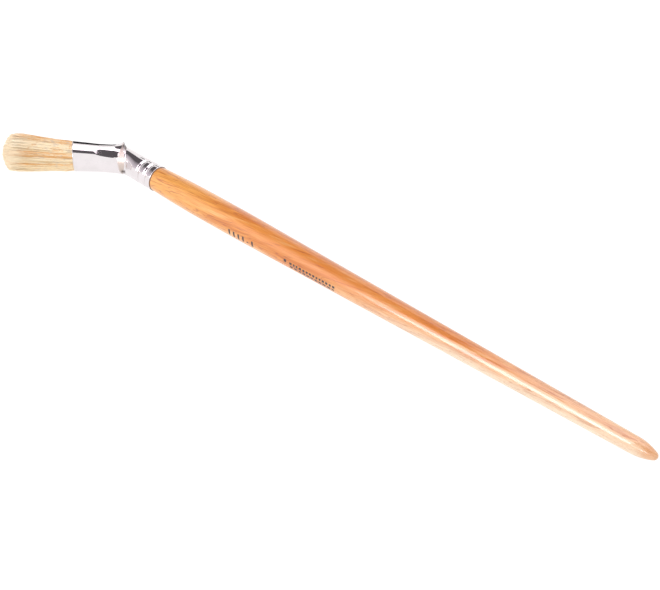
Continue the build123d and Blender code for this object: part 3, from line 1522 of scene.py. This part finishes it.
        tone = np.clip(clump_tones[nearest] + draw.normal(0, self.tone_spread, count), 0, 1)
        carried = {
            "tone": np.repeat(tone, stride),
            "along": np.tile(np.append(np.repeat(steps, sides), 1.0), count),
        }
        skin = Skin(self.layout.from_head(points.reshape(-1, 3)), faces, carried,
                    self.bake_map(count, rings, sides), mirrored=True)
        bundle = skin.to_object(name, self.layout, hair, math.radians(80.0))
        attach(bundle, "root")
        return bundle

    @staticmethod
    def bake_map(count: int, rings: int, sides: int) -> np.ndarray:
        """Lays each strand in a thin column of its own.

        Args:
            count: How many strands there are.
            rings: How many rings each has.
            sides: How many sides each has.

        Returns:
            The face corners' places on the map, in face order.
        """
        foot, height, point = 0.01, 0.94, 0.97
        edge, width = 0.1, 0.8
        strips = [(edge + width * side / sides, edge + width * (side + 1) / sides) for side in range(sides)]
        rows = []
        for ring in range(rings - 1):
            low, high = foot + height * ring / (rings - 1), foot + height * (ring + 1) / (rings - 1)
            for left, right in strips:
                rows += [(left, low), (right, low), (right, high), (left, high)]
        top = foot + height
        for left, right in strips:
            rows += [(left, top), (right, top), ((left + right) / 2, point)]
        strand = np.array(rows)
        column = np.arange(count)[:, None]
        u = (column + strand[None, :, 0]) / count
        v = np.repeat(strand[None, :, 1], count, 0)
        return np.stack([u, v], -1).reshape(-1, 2)

    def build(self, hair: bpy.types.Material) -> list[bpy.types.Object]:
        """Builds the core and the locks.

        Args:
            hair: The bristles' material.

        Returns:
            The bundles.
        """
        draw = np.random.default_rng(self.seed)
        spread = np.sqrt(draw.random(self.clumps))
        around = draw.uniform(0, 2 * math.pi, self.clumps)
        centres = np.stack([spread * np.cos(around), spread * np.sin(around)], -1)
        tones = draw.random(self.clumps)
        share = self.core_share * np.sqrt(draw.random(self.core_strands))
        turn = draw.uniform(0, 2 * math.pi, self.core_strands)
        bundles = [self.weave("strands_core", share, turn, draw, centres, tones, hair)]
        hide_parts("bristle_core")
        step = 2 * math.pi / self.lock_count
        for number in range(self.lock_count):
            # More strands stand near the outside, where they show.
            depth = draw.random(self.lock_strands) ** self.crowding
            share = self.core_share + (self.edge_share - self.core_share) * depth
            # Turns run the other way about the head's axes than the locks' numbers do.
            turn = math.pi - step * (number + 0.5 + draw.random(self.lock_strands))
            bundle = self.weave(f"strands_lock_{number + 1}", share, turn, draw, centres, tones, hair)
            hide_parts(f"bristle_lock_{number + 1}")
            bundles.append(bundle)
        return bundles


@dataclass
class RootBinding:
    """Two-ply thread wound six times round the knot's root."""

    layout: Layout
    mouth_reach: float = MOUTH_REACH
    setback: float = 5.2
    pitch: float = 0.26
    turns: int = 6
    knot_at_mouth: float = KNOT_AT_MOUTH
    draw_in: float = DRAW_IN
    thread_radius: float = 0.145
    gap: float = 0.02
    valley_share: float = 0.78
    steps_a_turn: int = 90
    sides: int = 10
    twist_length: float = 1.1

    def build(self, linen: bpy.types.Material) -> bpy.types.Object:
        """Builds the binding.

        Args:
            linen: Its material.

        Returns:
            The binding.
        """
        count = self.turns * self.steps_a_turn
        travel = np.linspace(0, self.turns, count)
        angle = travel * 2 * math.pi
        out_of_mouth = -self.setback - (travel - 0.5) * self.pitch
        radius = self.knot_at_mouth + out_of_mouth * self.draw_in + self.gap + self.thread_radius
        reach = self.mouth_reach + out_of_mouth
        centre = np.stack([reach, radius * np.cos(angle), radius * np.sin(angle)], -1)
        radial = np.stack([np.zeros(count), np.cos(angle), np.sin(angle)], -1)
        along = np.array([1.0, 0.0, 0.0])
        length = radius * angle
        around = np.linspace(0, 2 * math.pi, self.sides, endpoint=False)
        ply_phase = 2 * math.pi * length / self.twist_length
        lobes = 0.5 + 0.5 * np.cos(2 * (around[None, :] - ply_phase[:, None] / 2))
        thick = self.thread_radius * (self.valley_share + (1 - self.valley_share) * lobes)
        outward = np.cos(around)[None, :, None] * radial[:, None] + np.sin(around)[None, :, None] * along
        rings = centre[:, None] + thick[..., None] * outward
        points = np.concatenate([rings.reshape(-1, 3), centre[:1], centre[-1:]])
        faces = Skin.ring_faces(count, self.sides) + Skin.end_faces(count, self.sides)
        carried = {"ply": np.append((1 - lobes).ravel(), [0.5, 0.5])}
        skin = Skin(self.layout.from_head(points), faces, carried)
        binding = skin.to_object("wound_thread", self.layout, linen)
        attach(binding, "root")
        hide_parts("root_binding")
        return binding


@dataclass
class SettingCement:
    """The resin cup, cast in the bore round the roots of the bristles."""

    layout: Layout
    ferrule: Ferrule
    front: float = 11.4
    back: float = 3.9
    floor_reach: float = 5.4
    gap: float = 0.04
    rim_drop: float = 0.15
    climb: float = 0.12
    mouth_reach: float = MOUTH_REACH
    knot_at_mouth: float = KNOT_AT_MOUTH
    draw_in: float = DRAW_IN

    def build(self, resin: bpy.types.Material) -> bpy.types.Object:
        """Builds the cup: its wall against the bore, its floor, and its socket for the roots.

        Args:
            resin: The material.

        Returns:
            The cup.
        """
        rings, away = self.ferrule.head_rings()
        inside = rings - Ferrule.normals(rings) * (self.ferrule.wall + self.gap)
        chosen = [k for k in range(len(rings)) if self.back <= away[k][0] <= self.front]
        wall = inside[chosen]
        turn = self.ferrule.turns()
        frame = self.layout.head_axes
        radial = np.cos(turn)[:, None] * frame[1] + np.sin(turn)[:, None] * frame[2]
        socket = []
        for reach in np.linspace(self.floor_reach, self.front - self.rim_drop, 14):
            radius = self.knot_at_mouth - (self.mouth_reach - reach) * self.draw_in + self.gap
            socket.append(frame[0] * reach + radius * radial)
        # The resin climbs a little where it wets the bore.
        lip = (wall[0] + socket[-1]) / 2 - frame[0] * self.climb
        loop = np.concatenate([np.array(socket), lip[None], wall])
        points = np.concatenate([loop.reshape(-1, 3), [frame[0] * self.floor_reach, wall[-1].mean(0)]])
        columns = self.ferrule.columns
        faces = Skin.ring_faces(len(loop), columns) + Skin.end_faces(len(loop), columns)
        cup = Skin(points, faces).to_object("resin_cup", self.layout, resin)
        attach(cup, "root")
        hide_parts("setting_cement")
        return cup


@dataclass
class Studio:
    """A white sweep under a ceiling with a softbox, and a low light from the near side.

    The dark and grey sheets round the softbox shape what the plate reflects. The low light
    has two parts: an area light for the matt surfaces, and glints, sheets that only gloss sees.
    """

    floor_z: float
    floor_half: float = 3.0
    floor_cells: int = 40
    floor_flat: float = 2.4
    floor_curl: float = 0.02
    aim: Place = (0.09, 0.012, 0.006)
    key_elevation: float = 19.0
    key_side: float = -30.0
    end_side: float = 4.0
    ceiling: float = 1.2
    ceiling_across: Place = (-0.743, 0.669, 0.0)
    ceiling_along: Place = (-0.743, -0.669, 0.0)
    dark: float = 0.12
    gap_dark: float = 0.03
    mat_dark: float = 0.1
    surround: float = 1.15
    camera_place: Place = (0.50949, -0.54846, 0.46227)
    camera_right: Place = (0.7187, 0.6933, 0.0528)
    camera_up: Place = (-0.3956, 0.3453, 0.8510)
    camera_back: Place = (0.5718, -0.6326, 0.5224)
    lens: float = 130.909

    def floor(self) -> bpy.types.Object:
        """Lays the floor, a sheet whose far edges curl up.

        Returns:
            The floor.
        """
        beside = self.floor_cells + 1
        across = np.linspace(-self.floor_half, self.floor_half, beside)
        grid_x, grid_y = np.meshgrid(across, across, indexing="ij")
        lift = self.floor_curl * np.maximum(np.hypot(grid_x, grid_y) - self.floor_flat, 0.0) ** 2
        points = np.stack([grid_x, grid_y, self.floor_z + lift], -1).reshape(-1, 3)
        faces = []
        for row in range(self.floor_cells):
            for column in range(self.floor_cells):
                corner = row * beside + column
                faces.append((corner, corner + beside, corner + beside + 1, corner + 1))
        return self.stand("floor", points.tolist(), faces, PaleFloor().build())

    @staticmethod
    def stand(name: str, points: list[list[float]], faces: list[Face],
              material: bpy.types.Material) -> bpy.types.Object:
        """Puts a plain mesh in the studio.

        Args:
            name: Its name.
            points: Its points, in metres.
            faces: Its faces.
            material: What it is made of.

        Returns:
            The object, which isn't part of the brush.
        """
        mesh = bpy.data.meshes.new(name)
        mesh.from_pydata(points, [], faces)
        mesh.materials.append(material)
        made = bpy.data.objects.new(name, mesh)
        bpy.context.scene.collection.objects.link(made)
        made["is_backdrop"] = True
        return made

    def sheet(self, name: str, corners: list[list[float]], strength: float) -> bpy.types.Object:
        """Sets up one flat sheet that the camera doesn't see, and that casts no shadow.

        Args:
            name: Its name.
            corners: Its corners, in metres.
            strength: How much light it gives. None is black.

        Returns:
            The sheet.
        """
        made = self.stand(name, corners, [tuple(range(len(corners)))], Glow(name, strength).build())
        made.visible_camera = False
        made.visible_shadow = False
        return made

    def overhead(self, name: str, outline: Outline, strength: float,
                 drop: float = 0.0) -> bpy.types.Object:
        """Hangs a sheet over the brush.

        Args:
            name: Its name.
            outline: Its corners along the ceiling's two axes, in ceiling heights.
            strength: How much light it gives.
            drop: How far under the ceiling it hangs.

        Returns:
            The sheet.
        """
        first = np.array(self.ceiling_across)
        second = np.array(self.ceiling_along)
        height = self.ceiling - drop
        up = np.array([0.0, 0.0, height])
        corners = [(first * a * height + second * b * height + up).tolist() for a, b in outline]
        return self.sheet(name, corners, strength)

    def upright(self, name: str, azimuths: Span, elevations: Span,
                strength: float, distance: float = 1.8) -> bpy.types.Object:
        """Stands a sheet beside the brush.

        Args:
            name: Its name.
            azimuths: Its left and right edges as seen from the brush, in degrees.
            elevations: Its lower and upper edges, in degrees.
            strength: How much light it gives.
            distance: How far away it stands.

        Returns:
            The sheet.
        """
        corners = []
        for a, e in ((0, 0), (1, 0), (1, 1), (0, 1)):
            azimuth = math.radians(azimuths[a])
            corners.append([distance * math.sin(azimuth), -distance * math.cos(azimuth),
                            distance * math.tan(math.radians(elevations[e]))])
        return self.sheet(name, corners, strength)

    def sight(self, azimuth: float) -> tuple[Vector, Vector, Vector]:
        """Finds one low line of sight from the aim, on the handle's thin half.

        Args:
            azimuth: Which side it goes to, in degrees.

        Returns:
            The direction along it, the level one across it and the one that rises from it.
        """
        turn, elevation = math.radians(azimuth), math.radians(self.key_elevation)
        along = Vector((math.sin(turn) * math.cos(elevation), -math.cos(turn) * math.cos(elevation),
                        math.sin(elevation)))
        across = Vector((math.cos(turn), math.sin(turn), 0.0))
        return along, across, along.cross(across)

    def glint(self, name: str, azimuth: float, outline: Outline,
              strength: float, reach: float = 1.0) -> bpy.types.Object:
        """Stands a sheet that only reflections see, square to a line of sight.

        Args:
            name: Its name.
            azimuth: Which side it stands on, in degrees.
            outline: Its corners across and up from the line, in metres.
            strength: How much light it gives.
            reach: How far along the line it stands, in metres.

        Returns:
            The sheet.
        """
        along, across, rise = self.sight(azimuth)
        middle = Vector(self.aim) + along * reach
        made = self.sheet(name, [list(middle + across * u + rise * v) for u, v in outline], strength)
        made.visible_diffuse = False
        return made

    def key_light(self, azimuth: float, size: Span, lift: float,
                  radiance: float) -> bpy.types.Object:
        """Sets the low softbox that lights the matt surfaces of the brush's near side.

        Args:
            azimuth: Which side it stands on, in degrees.
            size: Its width and height, in metres.
            lift: How far its middle is above the line to its aim.
            radiance: How bright its face is.

        Returns:
            The light.
        """
        along, _, rise = self.sight(azimuth)
        data = bpy.data.lights.new("key", "AREA")
        data.shape = "RECTANGLE"
        data.size, data.size_y = size
        data.energy = radiance * math.pi * size[0] * size[1]
        light = bpy.data.objects.new("key", data)
        light.location = Vector(self.aim) + along + rise * lift
        light.rotation_euler = along.to_track_quat("Z", "Y").to_euler()
        light.visible_camera = False
        light.visible_glossy = False
        bpy.context.scene.collection.objects.link(light)
        return light

    def camera(self) -> bpy.types.Object:
        """Sets the camera.

        Returns:
            The camera.
        """
        data = bpy.data.cameras.new("camera")
        data.sensor_width = 36.0
        data.lens = self.lens
        data.clip_start = 0.01
        data.clip_end = 20.0
        made = bpy.data.objects.new("camera", data)
        turn = Matrix((self.camera_right, self.camera_up, self.camera_back)).transposed()
        made.matrix_world = Matrix.Translation(self.camera_place) @ turn.to_4x4()
        bpy.context.scene.collection.objects.link(made)
        bpy.context.scene.camera = made
        return made

    def ceiling_sheets(self) -> None:
        """Hangs the softbox, and the dark and grey sheets round it."""
        outer, left, right, far = -0.60, -0.105, 0.85, 0.85
        self.overhead("dark_near", [(outer, -1.2), (left, -1.2), (left, far), (outer, far)], self.dark)
        self.overhead("dark_corner", [(-1.0, 0.25), (outer, 0.25), (outer, far), (-1.0, far)], self.dark)
        # The softbox and the dark side share this edge.
        edge = [(0.52, 0.12), (0.27, 0.42), (left, 0.56)]
        self.overhead("dark_side", edge[::-1] + [(1.35, 0.12), (1.35, far), (left, far)], self.dark)
        near_grey, far_grey = -0.53, 1.07
        for start, end, strength in ((0.85, 1.05, 0.3), (1.05, 1.3, 0.45), (1.3, 2.0, 0.6), (2.0, 4.0, 0.78)):
            grey = [(near_grey, start), (far_grey, start), (far_grey, end), (near_grey, end)]
            self.overhead(f"grey_{start}", grey, strength)
        self.overhead("softbox", [(left, -0.55), (right, -0.55), (right, 0.12)] + edge, 2.4, 0.02)

    def low_sheets(self) -> None:
        """Sets the low dark sheets that the side of the ferrule reflects."""
        self.upright("dark_gap", (-133.8, -127.0), (0.0, 22.5), self.gap_dark)
        self.upright("dark_gap_top", (-133.4, -130.8), (22.5, 33.0), self.gap_dark)
        mat = [(-0.164, 0.042), (-0.169, 0.036), (-1.451, 1.074), (-1.294, 1.244)]
        self.sheet("dark_mat", [[x, y, 0.0005] for x, y in mat], self.mat_dark)

    def low_light(self) -> None:
        """Sets the low light: its soft part, its core and fringe in the gloss, and the nose's glint."""
        self.key_light(self.key_side, (0.27, 0.38), 0.10, 10.0)
        core = [(-0.105, -0.09), (0.10, -0.09), (0.10, 0.30), (-0.13, 0.30)]
        # The core stands in front of the fringe, so that it isn't hidden.
        self.glint("glint_core", self.key_side, core, 11.0, 0.98)
        fringe = [(-0.10, -0.15), (0.11, -0.15), (0.11, 0.76), (-0.31, 0.76)]
        self.glint("glint_fringe", self.key_side, fringe, 4.5)
        end = [(-0.15, -0.015), (0.15, -0.015), (0.15, 0.205), (-0.15, 0.205)]
        self.glint("glint_end", self.end_side, end, 10.0)

    def build(self) -> None:
        """Sets the whole studio."""
        scene = bpy.context.scene
        scene.view_settings.view_transform = "Standard"
        scene.view_settings.look = "None"
        world = bpy.data.worlds.new("studio")
        world.use_nodes = True
        background = world.node_tree.nodes["Background"]
        background.inputs["Color"].default_value = (1.0, 1.0, 1.0, 1.0)
        background.inputs["Strength"].default_value = self.surround
        scene.world = world
        self.floor()
        self.ceiling_sheets()
        self.low_sheets()
        self.low_light()
        self.camera()


def corners(bounds: Any) -> list[list[float]]:
    """Turns a pair of corners into plain lists."""
    return [[float(number) for number in corner] for corner in bounds]


def main() -> None:
    """Builds the brush and its studio, piece by piece."""
    logging.basicConfig(level=logging.INFO, format="%(message)s")
    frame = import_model()
    cad_box = corners(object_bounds())
    layout = Layout.from_record(frame["record"])

    turned = Handle(layout)
    handle = turned.build(VarnishedWood().build(layout))
    log.info("handle: %d faces", len(handle.data.polygons))
    marks = HandleMarks(layout, turned).build(Ink().build(layout))
    log.info("marks: %d faces", len(marks.data.polygons))
    tube = Ferrule(layout, turned)
    ferrule = tube.build(NickelPlate().build(layout))
    log.info("ferrule: %d faces", len(ferrule.data.polygons))
    bundles = BristleKnot(layout).build(HogBristle().build(layout))
    for bundle in bundles:
        log.info("%s: %d faces", bundle.name, len(bundle.data.polygons))
    binding = RootBinding(layout).build(LinenThread().build(layout))
    log.info("binding: %d faces", len(binding.data.polygons))
    cup = SettingCement(layout, tube).build(Resin().build(layout))
    log.info("cement: %d faces", len(cup.data.polygons))
    Studio(floor_z=min(corner[2] for corner in cad_box)).build()
    log.info("studio set")


if __name__ == "__main__":
    main()
